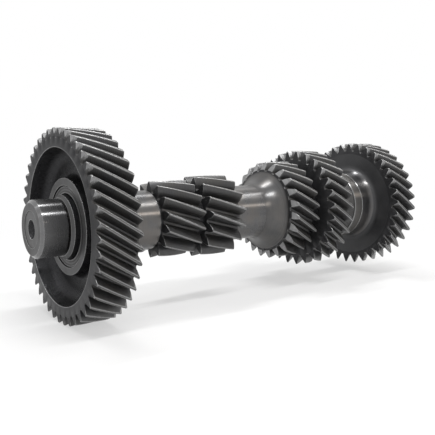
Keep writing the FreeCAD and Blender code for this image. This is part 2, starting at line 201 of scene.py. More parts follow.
class ShaftSizes(PropertyGroup):
    journal_r: size(20.4, "Journal radius", "Radius of the front journal")
    journal_length: size(20.5, "Journal length", "Length of the front journal")
    journal_chamfer: size(2.0, "Journal chamfer", "Chamfer on the front journal's end")
    undercut_width: size(1.4, "Undercut width", "Width of the relief groove behind the journal")
    undercut_depth: size(0.6, "Undercut depth", "Depth of the relief groove behind the journal")
    end_recess_r: size(13.0, "End recess radius", "Radius of the turned recess in the end face")
    end_recess_depth: size(0.4, "End recess depth", "Depth of the turned recess in the end face")
    centre_mouth_r: size(6.8, "Centre hole radius", "Radius of the centre hole's mouth")
    centre_drill_r: size(3.0, "Centre drill radius", "Radius of the drilled part of the centre hole")
    centre_depth: size(6.6, "Centre cone depth", "Depth of the centre hole's cone")
    seat_r: size(22.8, "Seat radius", "Radius of the seats under the pressed-on gears")
    shoulder_chamfer: size(2.0, "Shoulder chamfer", "Chamfer on the shoulder in front of the drive gear")
    ahead_of_shoulder: size(2.0, "Drive gear ahead", "How far the drive gear's rim stands ahead of it")
    front_r: size(23.3, "Front shaft radius", "Radius of the shaft behind the drive gear")
    front_length: size(42.2, "Front shaft length", "Length of the shaft behind the drive gear")
    neck_r: size(20.6, "Neck radius", "Radius of the necks beside the front pinion")
    neck_length: size(2.6, "Neck length", "Length of the neck in front of the front pinion")
    pinion_groove: size(4.7, "Pinion groove width", "Width of the groove between the two pinions")
    middle_r: size(23.4, "Middle shaft radius", "Radius of the shaft behind the pinions")
    middle_length: size(29.9, "Middle shaft length", "Length of the shaft behind the pinions")
    flare_r: size(34.4, "Flare radius", "Radius at the wide end of the flare")
    flare_length: size(16.6, "Flare length", "Length of the flare in front of the second gear")
    groove_r: size(33.5, "Groove radius", "Radius of the groove between the second and third gears")
    groove_width: size(8.1, "Groove width", "Width of the groove between the second and third gears")
    rear_r: size(31.6, "Rear shoulder radius", "Radius of the shaft behind the third gear")
    rear_length: size(28.5, "Rear shoulder length", "Length of the shaft behind the third gear")
    seat_beyond_gear: size(2.0, "Seat beyond gear", "How far the rear seat stands out behind the rear gear")
    rear_journal_r: size(17.5, "Rear journal radius", "Radius of the rear journal")
    rear_journal_length: size(26.0, "Rear journal length", "Length of the rear journal")


class DriveGearSizes(PropertyGroup):
    __annotations__ = tooth_sizes(teeth=43, module=2.63, helix=32.0, shift=0.0, start=255.6, width=30.4)
    front_bevel: size(4.3, "Front bevel", "Depth of the bevels on the front ends of the teeth")
    rear_bevel: size(2.2, "Rear bevel", "Depth of the bevels on the rear ends of the teeth")
    rim_inner_r: size(56.3, "Rim inner radius", "Radius of the dish at the front face")
    dish_depth: size(15.0, "Dish depth", "Depth of the dish from the front face to the web")
    dish_draft: size(2.5, "Dish draft", "How much narrower the dish is at the web")
    dish_fillet: size(8.0, "Dish fillet", "Fillet between the rim and the web")
    web: size(8.0, "Web thickness", "Thickness of the web")
    hub_r: size(34.8, "Hub radius", "Radius of the hub's front face")
    hub_recess: size(6.5, "Hub recess", "How far the hub's face lies behind the rim's front face")
    hub_draft: size(1.5, "Hub draft", "How much wider the hub is at the web")
    hub_fillet: size(3.0, "Hub fillet", "Fillet between the hub and the web")
    hub_step_r: size(29.4, "Hub step radius", "Radius of the turned step in the hub's face")
    hub_step: size(0.8, "Hub step", "Depth of the turned step in the hub's face")
    ring_groove: size(0.7, "Ring groove", "Width and depth of the fine groove round the step")
    bore_chamfer: size(1.3, "Bore chamfer", "Chamfer on the bore")


class FrontPinionSizes(PropertyGroup):
    __annotations__ = tooth_sizes(teeth=14, module=3.404, helix=19.4, shift=0.2, start=140.5, width=34.4)


class RearPinionSizes(PropertyGroup):
    __annotations__ = tooth_sizes(teeth=15, module=3.58, helix=17.1, shift=0.2, start=123.7, width=33.8)


class SecondGearSizes(PropertyGroup):
    __annotations__ = tooth_sizes(teeth=23, module=3.09, helix=27.5, shift=0.0, start=134.5, width=29.4)
    cone: size(3.6, "Front cone", "Depth of the cone turned on the front of the teeth")
    cone_below_root: size(0.4, "Cone below root", "How far the cone starts below the roots of the teeth")
    rear_bevel: size(1.5, "Rear bevel", "Depth of the bevels on the rear ends of the teeth")


class ThirdGearSizes(PropertyGroup):
    __annotations__ = tooth_sizes(teeth=28, module=3.10, helix=30.0, shift=0.0, start=146.6, width=25.3)
    front_bevel: size(2.2, "Front bevel", "Depth of the bevels on the front ends of the teeth")
    rear_bevel: size(2.2, "Rear bevel", "Depth of the bevels on the rear ends of the teeth")


class SpacerSizes(PropertyGroup):
    radius: size(32.7, "Radius", "Outer radius of the spacer ring")
    width: size(10.8, "Width", "Width of the spacer ring")
    chamfer: size(0.7, "Chamfer", "Chamfer on both edges of the spacer ring")


class RearGearSizes(PropertyGroup):
    __annotations__ = tooth_sizes(teeth=34, module=2.88, helix=32.5, shift=0.0, start=153.6, width=27.7)
    front_bevel: size(2.2, "Front bevel", "Depth of the bevels on the front ends of the teeth")
    rear_bevel: size(2.2, "Rear bevel", "Depth of the bevels on the rear ends of the teeth")
    hub_r: size(32.3, "Hub radius", "Radius of the long front hub")
    hub_length: size(16.8, "Hub length", "Length of the hub in front of the teeth")
    hub_fillet: size(8.0, "Hub fillet", "Fillet between the hub and the web")
    back_rim_r: size(47.0, "Back rim radius", "Outer radius of the recess in the back")
    back_hub_r: size(33.0, "Back hub radius", "Inner radius of the recess in the back")
    back_recess: size(6.0, "Back recess", "Depth of the recess in the back")


class EdgeSizes(PropertyGroup):
    turned: size(0.25, "Turned edges", "Rounding of the shaft's and the hubs' edges")
    tooth_tip: size(0.45, "Tooth tips", "Rounding along the tips of the teeth")
    tooth_end: size(0.30, "Tooth ends", "Chamfer round the ends of the teeth")
    end_tip: size(0.80, "Tip ends", "Rounding of the gears' outer diameter at both ends")
    worn_and_highlight: size(0.70, "Worn width", "How far the wear and painted highlight reach in from an edge")
    bevel_across: size(0.6, "Bevel across top", "How far a tooth's end bevel reaches across its top")


class Finishes(PropertyGroup):
    ground: colour((0.125, 0.125, 0.127), "Ground steel", "Colour of the ground shaft")
    flare: colour((0.095, 0.095, 0.096), "Flare", "Colour of the concave flare")
    warm: colour((0.170, 0.155, 0.140), "Warm steel", "Straw tint that the ground steel has in places")
    polished: colour((0.180, 0.180, 0.182), "Polished steel", "Colour of the front journal")
    ring: colour((0.150, 0.147, 0.144), "Ring steel", "Colour of the spacer ring")
    hub: colour((0.115, 0.115, 0.118), "Hub steel", "Colour of the rear gear's hub")
    machined: colour((0.092, 0.092, 0.094), "Machined faces", "Colour of the turned faces of shaft and hub")
    rim: colour((0.046, 0.046, 0.048), "Rim faces", "Colour of the oxidised faces of the toothed rims")
    web: colour((0.045, 0.045, 0.047), "Web", "Colour of the rear gear's satin web")
    forged: colour((0.034, 0.034, 0.036), "Forged skin", "Colour of the dish and other rough faces")
    teeth: colour((0.060, 0.060, 0.062), "Tooth flanks", "Colour of the oxidised hobbed flanks")
    # Bare steel colour of the worn edges, which also paints their highlights and glints.
    worn_and_highlight: colour((0.27, 0.27, 0.27), "Worn edges", "Bare steel on worn edges, also painting their highlights")
    bevel: colour((0.320, 0.320, 0.323), "End bevels", "Colour of the bevels on the tooth ends")
    # Near-black colour that darkens the inner corners.
    corner_dark: colour((0.010, 0.009, 0.008), "Corner dark", "Near-black colour that darkens the inner corners")
    olive: colour((0.068, 0.064, 0.052), "Oil tint", "Brown tint of the preserving oil")


class StageSizes(PropertyGroup):
    lens: size(46.58, "Lens", "Focal length of the camera")
    key_power: watts(7.4, "Key light", "Power of the strip above and in front")
    back_power: watts(6.8, "Back light", "Power of the strip above and behind")
    rear_power: watts(4.0, "Rear light", "Power of the light above the rear end")
    band_power: watts(4.0, "Band light", "Power of the warm strip at the camera's side")
    floor: colour((0.85, 0.85, 0.85), "Floor", "Colour of the floor")


class ClusterGear(PropertyGroup):
    shaft: held(ShaftSizes, "Shaft", "Sizes of the countershaft")
    drive: held(DriveGearSizes, "Drive gear", "Sizes of the drive gear")
    front_pinion: held(FrontPinionSizes, "Front pinion", "Sizes of the front pinion")
    rear_pinion: held(RearPinionSizes, "Rear pinion", "Sizes of the rear pinion")
    second: held(SecondGearSizes, "Second gear", "Sizes of the second gear")
    third: held(ThirdGearSizes, "Third gear", "Sizes of the third gear")
    spacer: held(SpacerSizes, "Spacer ring", "Sizes of the spacer ring")
    rear: held(RearGearSizes, "Rear gear", "Sizes of the rear gear")
    edges: held(EdgeSizes, "Edges", "Sizes of the broken edges")
    finishes: held(Finishes, "Finishes", "Colours of the steel")
    stage: held(StageSizes, "Stage", "Camera, lights and floor")


def stations(cluster):
    """Stations along the shaft, each worked out from the one before it."""
    shaft = cluster.shaft
    at = SimpleNamespace()
    at.shaft_front = -shaft.journal_length / 2
    at.shoulder = shaft.journal_length / 2
    at.drive_front = at.shoulder - shaft.ahead_of_shoulder
    at.drive_rear = at.drive_front + cluster.drive.width
    at.neck_front = at.drive_rear + shaft.front_length
    at.front_pinion = at.neck_front + shaft.neck_length
    at.groove_front = at.front_pinion + cluster.front_pinion.width
    at.rear_pinion = at.groove_front + shaft.pinion_groove
    at.pinion_rear = at.rear_pinion + cluster.rear_pinion.width
    at.flare_front = at.pinion_rear + shaft.middle_length
    at.second_front = at.flare_front + shaft.flare_length
    at.second_rear = at.second_front + cluster.second.width
    at.third_front = at.second_rear + shaft.groove_width
    at.third_rear = at.third_front + cluster.third.width
    at.spacer_front = at.third_rear + shaft.rear_length
    at.spacer_rear = at.spacer_front + cluster.spacer.width
    at.rear_front = at.spacer_rear + cluster.rear.hub_length
    at.rear_rear = at.rear_front + cluster.rear.width
    at.seat_end = at.rear_rear + shaft.seat_beyond_gear
    at.shaft_rear = at.seat_end + shaft.rear_journal_length
    return at


def around_axis(station, radius, angle):
    """Points by their stations, radii from the axis and angles about it."""
    station, radius, angle = np.broadcast_arrays(station, radius, angle)
    return np.stack([station, radius * np.cos(angle), radius * np.sin(angle)], axis=-1)


class Skin:
    """Points and faces of one piece. The wear mark is 1 on outer edges, which get wear and painted highlight,
    and -1 in inner corners, which are darkened; height is 0 at a tooth's root and 1 at its tip, and each face
    has a finish."""

    def __init__(self):
        self.points = []
        self.wear_and_highlight = []
        self.height = []
        self.faces = []
        self.finishes = []
        self.total = 0

    def add(self, points, wear_and_highlight=0.0, height=0.0):
        """Adds a block of points and gives their numbers in the same layout."""
        shape = points.shape[:-1]
        self.points.append(points.reshape(-1, 3))
        self.wear_and_highlight.append(np.broadcast_to(wear_and_highlight, shape).ravel())
        self.height.append(np.broadcast_to(height, shape).ravel())
        numbers = self.total + np.arange(self.points[-1].shape[0]).reshape(shape)
        self.total += numbers.size
        return numbers

    def fill(self, numbers, finish):
        """Faces between the neighbours in a grid of points. Finish is one name, or one for each strip
        between two rows."""
        corners = (numbers[:-1, :-1], numbers[:-1, 1:], numbers[1:, 1:], numbers[1:, :-1])
        quads = np.stack(corners, axis=-1)
        names = [finish] * len(quads) if isinstance(finish, str) else finish
        for strip, name in zip(quads, names):
            self.faces.append(strip)
            self.finishes += [name] * len(strip)

    def turned(self, corners, edges, columns):
        """Surface of revolution of an outline, given by its corners."""
        outline = turned_outline(corners, edges)
        angles = np.linspace(0, 2 * np.pi, columns, endpoint=False)
        points = around_axis(outline.station[:, None], outline.radius[:, None], angles)
        numbers = self.add(points, outline.wear_and_highlight[:, None])
        self.fill(np.hstack([numbers, numbers[:, :1]]), outline.finish)

    def make(self, name, materials):
        """Turns the skin into an object with the materials that its faces use."""
        mesh = bpy.data.meshes.new(name)
        mesh.from_pydata(np.vstack(self.points).tolist(), [], np.vstack(self.faces).tolist())
        used = sorted(set(self.finishes))
        for finish in used:
            mesh.materials.append(materials[finish])
        mesh.polygons.foreach_set("material_index", [used.index(f) for f in self.finishes])
        for attribute, values in (("wear_and_highlight", self.wear_and_highlight), ("height", self.height)):
            layer = mesh.attributes.new(attribute, "FLOAT", "POINT")
            layer.data.foreach_set("value", np.concatenate(values).astype(np.float32))
        mesh.shade_smooth()
        mesh.set_sharp_from_angle(angle=SHARP_ANGLE)
        mesh.update()
        return placed_object(name, mesh)


def turned_outline(corners, edges):
    """Outline with every corner rounded. A corner is (station, radius, finish of the run after it) and may
    end in a rounding of its own. A rounding of zero keeps a point as it is. Long runs get a point beside
    each marked edge, so that its wear and painted highlight, or the darkening of an inner corner, stays near
    it."""
    places = [Vector(corner[:2]) for corner in corners]
    points = []
    wear_and_highlight = []
    finish = []
    for i, corner in enumerate(corners):
        rounding = corner[3] if len(corner) == 4 else edges.turned
        place = places[i]
        if i == 0 or i == len(corners) - 1 or rounding == 0:
            arc = [place]
            mark = 0.0
        else:
            back = places[i - 1] - place
            ahead = places[i + 1] - place
            sweep = math.pi - back.angle(ahead)
            reach = min(rounding * math.tan(sweep / 2), RUN_SHARE * back.length, RUN_SHARE * ahead.length)
            arc_r = reach / math.tan(sweep / 2)
            chords = ARC_CHORDS if rounding < SMALL_ARC else 4 * ARC_CHORDS
            first = place + back.normalized() * reach
            last = place + ahead.normalized() * reach
            inwards = (back.normalized() + ahead.normalized()).normalized()
            centre = place + inwards * (reach ** 2 + arc_r ** 2) ** 0.5
            arc = []
            for step in range(chords + 1):
                t = step / chords
                spoke = (first - centre) * math.sin((1 - t) * sweep) + (last - centre) * math.sin(t * sweep)
                arc.append(centre + spoke / math.sin(sweep))
            # Outer edges get wear with painted highlight, inner corners are darkened.
            outer = back.cross(ahead) > 0
            sharp = rounding < SMALL_ARC and sweep > SHARP_BEND
            mark = (1.0 if outer else -1.0) if sharp else 0.0
        if points:
            run = arc[0] - points[-1]
            if run.length > WORN_AND_HIGHLIGHT_RUN * edges.worn_and_highlight and (wear_and_highlight[-1] or mark):
                inset = run.normalized() * edges.worn_and_highlight
                for support in (points[-1] + inset, arc[0] - inset):
                    points.append(support)
                    wear_and_highlight.append(0.0)
                    finish.append(corners[i - 1][2])
            finish.append(corners[i - 1][2])
        for step, point in enumerate(arc):
            points.append(point)
            wear_and_highlight.append(mark)
            if step:
                finish.append(corners[i - 1][2] if step * 2 < len(arc) else corner[2])
    return SimpleNamespace(station=np.array([p.x for p in points]), radius=np.array([p.y for p in points]),
                           wear_and_highlight=np.array(wear_and_highlight), finish=finish)


def involute(angle):
    """Roll of an involute at this pressure angle."""
    return np.tan(angle) - angle


class ToothForm:
    """A helical tooth form: its radii, its lead and the angle that a tooth takes up at any radius."""

    def __init__(self, gear, front):
        pressure = math.atan(math.tan(PRESSURE_ANGLE) / math.cos(gear.helix))
        self.count = gear.teeth
        self.start = gear.start
        self.front = front
        self.pitch_r = gear.teeth * gear.module / (2 * math.cos(gear.helix))
        self.tip_r = self.pitch_r + (ADDENDUM + gear.shift) * gear.module
        self.root_r = self.pitch_r - (DEDENDUM - gear.shift) * gear.module
        self.base_r = self.pitch_r * math.cos(pressure)
        self.foot_r = max(self.root_r + ROOT_ROUNDING * gear.module, self.base_r)
        self.turn_per_metre = math.tan(gear.helix) / self.pitch_r
        half_at_pitch = (math.pi / 2 + 2 * gear.shift * math.tan(PRESSURE_ANGLE)) / gear.teeth
        self.half_at_base = half_at_pitch + involute(pressure)

    def half_angle(self, radius):
        """Half the angle that one tooth spans at this radius."""
        return self.half_at_base - involute(np.arccos(np.minimum(1.0, self.base_r / radius)))


def tooth_outline(form, edges):
    """Outline of one tooth in the transverse plane, as complex numbers with the tooth's middle on the real
    axis, from the middle of one gap almost to the middle of the next."""
    gap_middle = math.pi / form.count
    flat = ROOT_FLAT * (gap_middle - form.half_angle(form.foot_r))
    bottom = form.root_r * np.exp(-1j * np.linspace(gap_middle, gap_middle - flat, BOTTOM_POINTS))
    tip_half = float(form.half_angle(form.tip_r))
    rounding = min(edges.tooth_tip, TIP_SHARE * tip_half * form.tip_r)
    top_r = form.tip_r - rounding
    radii = np.linspace(form.foot_r, top_r - edges.worn_and_highlight, FLANK_POINTS - 1)
    radii = np.append(radii, top_r)
    flank = radii * np.exp(-1j * form.half_angle(radii))
    along_bottom = 1j * bottom[-1] / abs(bottom[-1])
    along_flank = (flank[1] - flank[0]) / abs(flank[1] - flank[0])
    gap = flank[0] - bottom[-1]
    reach = (gap * along_flank.conjugate()).imag / (along_bottom * along_flank.conjugate()).imag
    fillet = curve_between(bottom[-1], bottom[-1] + along_bottom * reach, flank[0], FILLET_POINTS)
    corner = form.tip_r * np.exp(-1j * tip_half)
    top = form.tip_r * np.exp(-1j * (tip_half - rounding / form.tip_r))
    crease_at = max(CREASE_SHARE * tip_half, tip_half - edges.bevel_across / form.tip_r)
    crease = form.tip_r * np.exp(-1j * crease_at)
    round_top = curve_between(flank[-1], corner, top, TIP_POINTS)
    left = np.concatenate([bottom, fillet, flank, round_top, [top, crease]])
    points = np.concatenate([left, left[:0:-1].conjugate()])
    left_wear_and_highlight = np.zeros(len(left))
    before, rounded, top_wear_and_highlight, crease_wear_and_highlight = TIP_WEAR_AND_HIGHLIGHT
    # The tip's rounding gets wear and a painted highlight along it.
    left_wear_and_highlight[-3 - TIP_POINTS:] = [before] + [rounded] * TIP_POINTS + [top_wear_and_highlight, crease_wear_and_highlight]
    outline = SimpleNamespace(points=points)
    outline.wear_and_highlight = np.concatenate([left_wear_and_highlight, left_wear_and_highlight[:0:-1]])
    outline.height = (abs(points) - form.root_r) / (form.tip_r - form.root_r)
    outline.first_flank = len(bottom) + len(fillet)
    outline.first_tip = len(left) - 2
    outline.total = len(points)
    return outline


def curve_between(first, knee, last, points):
    """Points of a smooth curve from first to last that bends towards the knee, without its ends."""
    t = np.linspace(0, 1, points + 2)[1:-1]
    return (1 - t) ** 2 * first + 2 * t * (1 - t) * knee + t ** 2 * last


def moved_in(points, distance, count_of_teeth):
    """Outline moved into the metal by a distance."""
    pitch_turn = np.exp(2j * np.pi / count_of_teeth)
    before = np.concatenate([[points[-1] / pitch_turn], points[:-1]])
    after = np.concatenate([points[1:], [points[0] * pitch_turn]])
    along = (after - points) / abs(after - points) + (points - before) / abs(points - before)
    return points + 1j * along / abs(along) * distance


def bevel_line(form, end):
    """Foot and top of the line on a tooth's end face where its bevel starts."""
    across = float(form.half_angle(form.tip_r)) - end.edges.bevel_across / form.tip_r
    foot = around_axis(0.0, form.foot_r, end.side * float(form.half_angle(form.foot_r)))
    return foot, around_axis(0.0, form.tip_r, end.side * across)


def bevel_plane(form, end):
    """Plane of the bevel on a tooth's end, as a normal and an offset."""
    foot, top = bevel_line(form, end)
    back_angle = float(form.half_angle(form.tip_r)) + form.turn_per_metre * end.bevel
    back = around_axis(end.bevel, form.tip_r, end.side * back_angle)
    normal = np.cross(top - foot, back - foot)
    return normal, normal @ foot


def end_depth(form, points, end):
    """How far each point of a tooth's outline lies behind the face at this end."""
    depth = np.zeros(len(points))
    if end.cone:
        foot_r = form.root_r - end.cone_below_root
        depth = np.maximum(0.0, (abs(points) - foot_r) * end.cone / (form.tip_r - foot_r))
    elif end.bevel:
        normal, offset = bevel_plane(form, end)
        for _ in range(BEVEL_ROUNDS):
            angle = np.angle(points) + end.side * form.turn_per_metre * depth
            place = around_axis(0.0, abs(points), angle)
            depth = np.maximum(0.0, (offset - place @ normal) / normal[0])
            depth[abs(points) < form.foot_r - BEVEL_SLACK] = 0.0
    return depth


def rounded_rim(form, points, depth, rounding):
    """Outline of a tooth, cut down to the rounding of the gear's outer diameter at a depth behind the
    face. Also gives how much each point was cut."""
    inside = np.clip(rounding - depth, 0.0, rounding)
    limit = form.tip_r - rounding + np.sqrt(rounding ** 2 - inside ** 2)
    limit = np.maximum(limit, form.tip_r - DEEPEST_CUT * rounding)
    reach = abs(points)
    kept = np.minimum(reach, limit)
    return points / reach * kept, reach - kept


def end_wear_and_glint(height):
    """Wear and painted glint around a tooth's end, which grow from root to tip, with a painted glint line of
    their own along the root.
    """
    return ROOT_WEAR_AND_GLINT + (1 - ROOT_WEAR_AND_GLINT) * height + ROOT_LINE_GLINT * (height < ROOT_LINE)


def toothed_band(skin, form, edges, front, rear, steps, front_end, rear_end):
    """Teeth between two stations, with both end faces down to the radius where the neighbour starts."""
    outline = tooth_outline(form, edges)
    pitch = 2 * np.pi / form.count
    chamfer = edges.tooth_end
    inner = moved_in(outline.points, chamfer, form.count)
    front_x = front + end_depth(form, outline.points, front_end)
    rear_x = rear - end_depth(form, outline.points, rear_end)
    behind = [chamfer, chamfer + END_ROW * edges.end_tip, chamfer + edges.end_tip]
    first = front_x + behind[-1]
    last = rear_x - behind[-1]
    stations_x = [front + end_depth(form, inner, front_end)] + [front_x + d for d in behind[:-1]]
    stations_x += [first + (last - first) * t for t in np.linspace(0, 1, steps)]
    stations_x += [rear_x - d for d in behind[-2::-1]] + [rear - end_depth(form, inner, rear_end)]
    rows = len(stations_x)
    x = np.array(stations_x)
    wear_and_highlight = np.tile(outline.wear_and_highlight, (rows, 1))
    height = np.clip(outline.height, 0, 1)
    section = []
    for row in range(rows):
        points = inner if row in (0, rows - 1) else outline.points
        to_face = np.minimum(x[row] - front, rear - x[row])
        points, cut = rounded_rim(form, points, to_face, edges.end_tip)
        section.append(points)
        # Tips that the rounding of the outer diameter cuts get wear and a painted glint.
        wear_and_highlight[row] = np.maximum(wear_and_highlight[row], np.where(cut > CUT_SEEN, CUT_WEAR_AND_GLINT, 0.0))
    section = np.array(section)
    # The end rows get wear and painted glints, with a painted glint line along the root.
    for row in (0, 1, rows - 2, rows - 1):
        wear_and_highlight[row] = np.maximum(wear_and_highlight[row], end_wear_and_glint(height))
    teeth = np.arange(form.count)[None, :, None] * pitch
    angle = form.start + form.turn_per_metre * (x - form.front) + np.angle(section)
    angle = (angle[:, None, :] + teeth).reshape(rows, -1)
    repeat = (1, form.count)
    numbers = skin.add(around_axis(np.tile(x, repeat), np.tile(abs(section), repeat), angle),
                       np.tile(wear_and_highlight, repeat), np.tile(height, (rows, form.count)))
    skin.fill(np.hstack([numbers, numbers[:, :1]]), "teeth")
    toothed_face(skin, form, outline, numbers[0], x[0], section[0], front, front_end)
    toothed_face(skin, form, outline, numbers[-1], x[-1], section[-1], rear, rear_end)


def toothed_face(skin, form, outline, ring, ring_x, inner, station, end):
    """End face of a row of teeth: each tooth's end, with its bevel, and the ring under the teeth."""
    left = np.arange(outline.first_flank, outline.first_tip + 1)
    right = outline.total - left
    radii = abs(inner[left])
    grid = ring.reshape(form.count, outline.total)
    pitch = 2 * np.pi / form.count
    teeth = np.arange(form.count) * pitch
    if end.bevel:
        foot, top = bevel_line(form, end)
        t = np.clip((radii - form.foot_r) / (form.tip_r - form.foot_r), 0, 1)[:, None]
        line = foot + (top - foot) * t
        across = np.arctan2(line[:, 2], line[:, 1])
        low, high = np.angle(inner[left]), np.angle(inner[right])
        across = np.clip(across, low, high)
        middle_x = np.full(len(left), station)
    else:
        across = np.zeros(len(left))
        middle_x = (ring_x[left] + ring_x[right]) / 2
    turned_by = form.start + form.turn_per_metre * (middle_x - form.front)
    angle = teeth[:, None] + turned_by + across
    middle = skin.add(around_axis(middle_x, radii, angle), 0.0, 1.0)
    for k in range(form.count):
        columns = [grid[k][left], middle[k], grid[k][right]]
        for side, pair in ((-1, columns[:2]), (1, columns[1:])):
            finish = "bevel" if (end.bevel and side == end.side) or end.cone else "rim"
            strip = np.stack(pair, axis=1)
            skin.fill(strip if end.side > 0 else strip[:, ::-1], finish)
    low = np.arange(outline.first_flank + 1)
    low = np.concatenate([low, np.arange(outline.total - outline.first_flank, outline.total)])
    rim = grid[:, low].ravel()
    turned_by = form.start + form.turn_per_metre * (ring_x[low] - form.front)
    angle = (teeth[:, None] + turned_by + np.angle(inner[low])).ravel()
    inside = skin.add(around_axis(station, end.inner_r, angle), 0.0, 0.0)
    strip = np.stack([np.append(inside, inside[0]), np.append(rim, rim[0])])
    skin.fill(strip if end.side > 0 else strip[::-1], "rim")


def tooth_end(side, edges, inner_r, bevel=0.0, cone=0.0, cone_below_root=0.0):
    """How a row of teeth ends. Its side is 1 at the front and -1 at the rear, where stations run the other
    way, and its face goes down to inner_r."""
    return SimpleNamespace(side=side, edges=edges, inner_r=inner_r, bevel=bevel, cone=cone,
                           cone_below_root=cone_below_root)


def add_node(tree, kind, settings=None, **sockets):
    """Adds a node. Settings are its own properties. Each socket is set to a value or linked to an output,
    and sockets that share a name are given by their place, as in in0."""
    node = tree.nodes.new(kind)
    for name, value in (settings or {}).items():
        setattr(node, name, value)
    for name, value in sockets.items():
        place = int(name[2:]) if name[:2] == "in" and name[2:].isdigit() else name.replace("_", " ")
        socket = node.inputs[place]
        if isinstance(value, bpy.types.NodeSocket):
            tree.links.new(value, socket)
        else:
            socket.default_value = value
    return node


def empty_tree(owner):
    """Node tree of a material or a world, with nothing in it yet."""
    owner.use_nodes = True
    owner.node_tree.nodes.clear()
    return owner.node_tree


def placed_object(name, data):
    """New object in the scene."""
    item = bpy.data.objects.new(name, data)
    bpy.context.scene.collection.objects.link(item)
    return item


def facing(right, up, back, place):
    """Matrix of a lamp or a camera at a place."""
    return Matrix.Translation(place) @ Matrix((right, up, back)).transposed().to_4x4()


def maths(tree, operation, first, second=0.0, clamp=False):
    return add_node(tree, "ShaderNodeMath", {"operation": operation, "use_clamp": clamp}, in0=first,
                    in1=second).outputs[0]


def own_place(tree):
    """Place of a point in the object's own coordinates, which are those of the whole part."""
    return add_node(tree, "ShaderNodeTexCoord").outputs["Object"]


def scaled(tree, vector, amount):
    return add_node(tree, "ShaderNodeVectorMath", {"operation": "SCALE"}, in0=vector, Scale=amount).outputs[0]


def mixed(tree, factor, first, second):
    """Colour between two colours."""
    node = add_node(tree, "ShaderNodeMix", {"data_type": "RGBA"}, in0=factor, in6=first, in7=second)
    return node.outputs[2]


def ramp(tree, value, low, high, to_low=0.0, to_high=1.0):
    """Value moved from one range to another, with soft ends."""
    return add_node(tree, "ShaderNodeMapRange", {"interpolation_type": "SMOOTHSTEP"}, Value=value,
                    From_Min=low, From_Max=high, To_Min=to_low, To_Max=to_high).outputs[0]


def node_group(name, inputs, outputs):
    """Empty shader group with float sockets. Inputs are (name, default) pairs."""
    group = bpy.data.node_groups.new(name, "ShaderNodeTree")
    for socket_name, default in inputs:
        socket = group.interface.new_socket(socket_name, in_out="INPUT", socket_type="NodeSocketFloat")
        socket.default_value = default
    for socket_name in outputs:
        group.interface.new_socket(socket_name, in_out="OUTPUT", socket_type="NodeSocketFloat")
    return group, group.nodes.new("NodeGroupInput"), group.nodes.new("NodeGroupOutput")


def stretched(tree, along, across):
    """Object coordinates scaled along the shaft's axis and across it."""
    scale = add_node(tree, "ShaderNodeCombineXYZ", X=along, Y=across, Z=across).outputs[0]
    return add_node(tree, "ShaderNodeVectorMath", {"operation": "MULTIPLY"}, in0=own_place(tree),
                    in1=scale).outputs[0]


def mesh_value(tree, name):
    """Value that the mesh carries at each point under this name."""
    return add_node(tree, "ShaderNodeAttribute", {"attribute_name": name}).outputs["Fac"]


def noise(tree, vector, scale, detail, roughness=0.5):
    return add_node(tree, "ShaderNodeTexNoise", Vector=vector, Scale=scale, Detail=detail,
                    Roughness=roughness).outputs["Fac"]


def edge_wear_and_highlight_group():
    """Bright wear on outer edges, which also paints their highlights, and a darkening of inner corners, both
    broken up by noise.
    """
    group, given, result = node_group("Edge wear and highlight", [("Spread", 0.5), ("Break up", 0.5)], ["Worn", "Corner dark"])
    mark = mesh_value(group, "wear_and_highlight")
    place = own_place(group)
    patches = maths(group, "SUBTRACT", noise(group, place, scale=900.0, detail=3.0, roughness=0.6), 0.5)
    patches = maths(group, "MULTIPLY", patches, given.outputs["Break up"])
    reach = maths(group, "SUBTRACT", 1.0, given.outputs["Spread"])
    worn_and_highlight = maths(group, "ADD", mark, patches)
    upper = maths(group, "ADD", reach, WEAR_AND_HIGHLIGHT_FADE)
    group.links.new(ramp(group, worn_and_highlight, reach, upper), result.inputs["Worn"])
    # Darkens the inner corners.
    corner_dark = maths(group, "SUBTRACT", patches, mark)
    group.links.new(ramp(group, corner_dark, CORNER_DARK_START, 1.0), result.inputs["Corner dark"])
    return group


def turning_group():
    """Fine rings left by the lathe or the grinding wheel."""
    group, given, result = node_group("Turning lines", [("Rings per metre", 2500.0), ("Waviness", 6.0)],
                                      ["Lines"])
    place = stretched(group, given.outputs["Rings per metre"], given.outputs["Waviness"])
    fine = noise(group, place, scale=1.0, detail=4.0, roughness=0.65)
    group.links.new(ramp(group, fine, 0.25, 0.75), result.inputs["Lines"])
    return group


def hob_group():
    """Cross marks of the hob on a flank: even ridges that lie across the axis, with uneven depth."""
    group, given, result = node_group("Hob marks", [("Feed", 1.2 * MM), ("Uneven", 0.6)],
                                      ["Ridges", "Scratches"])
    place = own_place(group)
    along = add_node(group, "ShaderNodeSeparateXYZ", Vector=place).outputs["X"]
    uneven = maths(group, "MULTIPLY", given.outputs["Uneven"], 4.0)
    wander = maths(group, "MULTIPLY", noise(group, place, scale=260.0, detail=2.0), uneven)
    turns = maths(group, "DIVIDE", maths(group, "MULTIPLY", along, 2 * math.pi), given.outputs["Feed"])
    phase = maths(group, "ADD", turns, wander)
    wave = maths(group, "MULTIPLY", maths(group, "ADD", maths(group, "SINE", phase), 1.0), 0.5)
    group.links.new(wave, result.inputs["Ridges"])
    fine = noise(group, stretched(group, along=5200.0, across=240.0), scale=1.0, detail=3.0, roughness=0.6)
    group.links.new(fine, result.inputs["Scratches"])
    return group


